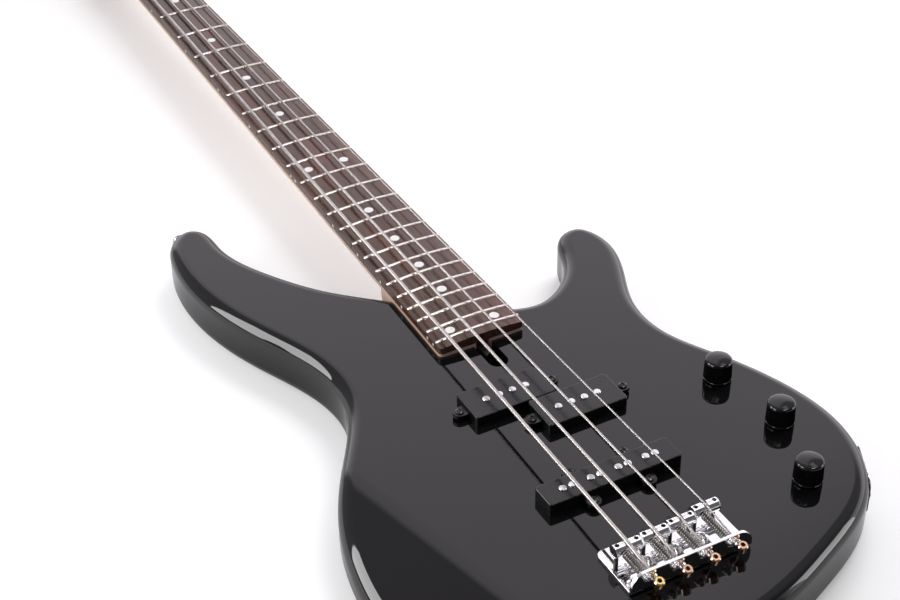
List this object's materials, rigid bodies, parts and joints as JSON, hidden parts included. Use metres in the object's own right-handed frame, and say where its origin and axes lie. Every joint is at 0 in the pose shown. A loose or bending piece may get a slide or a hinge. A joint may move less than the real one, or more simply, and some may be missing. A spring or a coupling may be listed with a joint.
{
  "type": "electric bass guitar",
  "caption": "Solid body electric bass guitar with bolted neck, fretted board, split and bar pickups, barrel saddle bridge, control knobs and worm geared tuners.",
  "frame": {"origin": "on the flat back of the body, on the centreline under the bridge end of the string scale", "axes": "+X to the treble side, +Y up the neck along the strings, +Z out of the playing face"},
  "size_m": [0.3173, 1.1446, 0.055],
  "materials": {
    "black_lacquer": "polished black lacquer over wood",
    "maple": "satin maple",
    "dark_fingerboard": "oiled dark brown hardwood",
    "fret_wire": "polished nickel silver wire",
    "marker_pearl": "polished white inlay",
    "nut_bone": "polished bone white",
    "chrome": "bright chrome",
    "plain_steel": "plain steel",
    "string_steel": "round wound nickel plated steel",
    "ball_brass": "turned brass",
    "pickup_plastic": "satin black moulding",
    "coil_wire": "enamelled copper winding under tape",
    "knob_plastic": "polished black moulding",
    "plate_plastic": "satin black sheet",
    "wire_insulation": "insulated hook-up wire"
  },
  "bodies": {
    "instrument": {"body": "black_lacquer", "neck": "maple", "fingerboard": "dark_fingerboard", "frets": "fret_wire", "position_markers": "marker_pearl", "side_markers": "marker_pearl", "string_nut": "nut_bone", "truss_rod": "plain_steel", "neck_plate": "chrome", "neck_screws": "chrome", "strap_buttons": "chrome", "bridge_plate": "chrome", "mounting_screws": "chrome", "string_e": "string_steel", "string_a": "string_steel", "string_d": "string_steel", "string_g": "string_steel", "intonation_springs": "plain_steel", "ball_ends": "ball_brass", "split_pickup_covers": "pickup_plastic", "bar_pickup_cover": "pickup_plastic", "pickup_poles": "plain_steel", "pickup_coils": "coil_wire", "potentiometers": "plain_steel", "bush_nuts": "chrome", "control_cover": "plate_plastic", "control_cover_screws": "chrome", "jack_plate": "plate_plastic", "output_jack": "chrome", "control_wiring": "wire_insulation", "small_screws": "chrome", "tuner_housings": "chrome", "tuner_bushings": "chrome"},
    "saddle_e": {"saddle_e": "chrome", "saddle_height_screws_e": "plain_steel"},
    "saddle_a": {"saddle_a": "chrome", "saddle_height_screws_a": "plain_steel"},
    "saddle_d": {"saddle_d": "chrome", "saddle_height_screws_d": "plain_steel"},
    "saddle_g": {"saddle_g": "chrome", "saddle_height_screws_g": "plain_steel"},
    "intonation_screw_e": {"intonation_screw_e": "plain_steel"},
    "intonation_screw_a": {"intonation_screw_a": "plain_steel"},
    "intonation_screw_d": {"intonation_screw_d": "plain_steel"},
    "intonation_screw_g": {"intonation_screw_g": "plain_steel"},
    "knob_1": {"knob_1": "knob_plastic", "knob_1_shaft": "plain_steel"},
    "knob_2": {"knob_2": "knob_plastic", "knob_2_shaft": "plain_steel"},
    "knob_3": {"knob_3": "knob_plastic", "knob_3_shaft": "plain_steel"},
    "tuner_key_e": {"tuner_key_e": "chrome"},
    "tuner_post_e": {"tuner_post_e": "chrome"},
    "tuner_key_a": {"tuner_key_a": "chrome"},
    "tuner_post_a": {"tuner_post_a": "chrome"},
    "tuner_key_d": {"tuner_key_d": "chrome"},
    "tuner_post_d": {"tuner_post_d": "chrome"},
    "tuner_key_g": {"tuner_key_g": "chrome"},
    "tuner_post_g": {"tuner_post_g": "chrome"},
    "truss_rod_nut": {"truss_rod_nut": "plain_steel"}
  },
  "joints": [
    {"name": "saddle_e_travel", "type": "slide", "parent": "instrument", "child": "saddle_e", "axis": [0, 1, 0], "range_m": [-0.003, 0.003], "deforming": ["string_e", "intonation_springs"]},
    {"name": "saddle_a_travel", "type": "slide", "parent": "instrument", "child": "saddle_a", "axis": [0, 1, 0], "range_m": [-0.003, 0.003], "deforming": ["string_a", "intonation_springs"]},
    {"name": "saddle_d_travel", "type": "slide", "parent": "instrument", "child": "saddle_d", "axis": [0, 1, 0], "range_m": [-0.003, 0.003], "deforming": ["string_d", "intonation_springs"]},
    {"name": "saddle_g_travel", "type": "slide", "parent": "instrument", "child": "saddle_g", "axis": [0, 1, 0], "range_m": [-0.003, 0.003], "deforming": ["string_g", "intonation_springs"]},
    {"name": "intonation_screw_e_turn", "type": "hinge", "parent": "instrument", "child": "intonation_screw_e", "pos_m": [-0.03095, -0.0286, 0.0493], "axis": [0, 1, 0], "range_deg": [-2160, 2160]},
    {"name": "intonation_screw_a_turn", "type": "hinge", "parent": "instrument", "child": "intonation_screw_a", "pos_m": [-0.01245, -0.0286, 0.0493], "axis": [0, 1, 0], "range_deg": [-2160, 2160]},
    {"name": "intonation_screw_d_turn", "type": "hinge", "parent": "instrument", "child": "intonation_screw_d", "pos_m": [0.00605, -0.0286, 0.0493], "axis": [0, 1, 0], "range_deg": [-2160, 2160]},
    {"name": "intonation_screw_g_turn", "type": "hinge", "parent": "instrument", "child": "intonation_screw_g", "pos_m": [0.02455, -0.0286, 0.0493], "axis": [0, 1, 0], "range_deg": [-2160, 2160]},
    {"name": "knob_1_turn", "type": "hinge", "parent": "instrument", "child": "knob_1", "pos_m": [0.11104, 0.105, 0.038], "axis": [0, 0, 1], "range_deg": [-150, 150]},
    {"name": "knob_2_turn", "type": "hinge", "parent": "instrument", "child": "knob_2", "pos_m": [0.11952, 0.05151, 0.038], "axis": [0, 0, 1], "range_deg": [-150, 150]},
    {"name": "knob_3_turn", "type": "hinge", "parent": "instrument", "child": "knob_3", "pos_m": [0.102, 0.00106, 0.038], "axis": [0, 0, 1], "range_deg": [-150, 150]},
    {"name": "tuner_key_e_turn", "type": "hinge", "parent": "instrument", "child": "tuner_key_e", "pos_m": [-0.025, 0.9358, 0.014], "axis": [1, 0, 0], "continuous": true},
    {"name": "tuner_post_e_turn", "type": "hinge", "parent": "instrument", "child": "tuner_post_e", "pos_m": [-0.025, 0.9266, 0.0338], "axis": [0, 0, 1], "continuous": true},
    {"name": "tuner_key_a_turn", "type": "hinge", "parent": "instrument", "child": "tuner_key_a", "pos_m": [-0.025, 0.9978, 0.014], "axis": [1, 0, 0], "continuous": true},
    {"name": "tuner_post_a_turn", "type": "hinge", "parent": "instrument", "child": "tuner_post_a", "pos_m": [-0.025, 0.9886, 0.0338], "axis": [0, 0, 1], "continuous": true},
    {"name": "tuner_key_d_turn", "type": "hinge", "parent": "instrument", "child": "tuner_key_d", "pos_m": [0.025, 0.9978, 0.014], "axis": [1, 0, 0], "continuous": true},
    {"name": "tuner_post_d_turn", "type": "hinge", "parent": "instrument", "child": "tuner_post_d", "pos_m": [0.025, 0.9886, 0.0338], "axis": [0, 0, 1], "continuous": true},
    {"name": "tuner_key_g_turn", "type": "hinge", "parent": "instrument", "child": "tuner_key_g", "pos_m": [0.025, 0.9358, 0.014], "axis": [1, 0, 0], "continuous": true},
    {"name": "tuner_post_g_turn", "type": "hinge", "parent": "instrument", "child": "tuner_post_g", "pos_m": [0.025, 0.9266, 0.0338], "axis": [0, 0, 1], "continuous": true},
    {"name": "truss_rod_nut_turn", "type": "hinge", "parent": "instrument", "child": "truss_rod_nut", "pos_m": [0, 0.2045, 0.0343], "axis": [0, 1, 0], "range_deg": [-180, 180]}
  ],
  "couplings": [
    {"joint": "intonation_screw_e_turn", "follows": "saddle_e_travel", "rad_per_m": -12566},
    {"joint": "intonation_screw_a_turn", "follows": "saddle_a_travel", "rad_per_m": -12566},
    {"joint": "intonation_screw_d_turn", "follows": "saddle_d_travel", "rad_per_m": -12566},
    {"joint": "intonation_screw_g_turn", "follows": "saddle_g_travel", "rad_per_m": -12566},
    {"joint": "tuner_post_e_turn", "follows": "tuner_key_e_turn", "ratio": 0.0625},
    {"joint": "tuner_post_a_turn", "follows": "tuner_key_a_turn", "ratio": 0.0625},
    {"joint": "tuner_post_d_turn", "follows": "tuner_key_d_turn", "ratio": 0.0625},
    {"joint": "tuner_post_g_turn", "follows": "tuner_key_g_turn", "ratio": 0.0625}
  ]
}
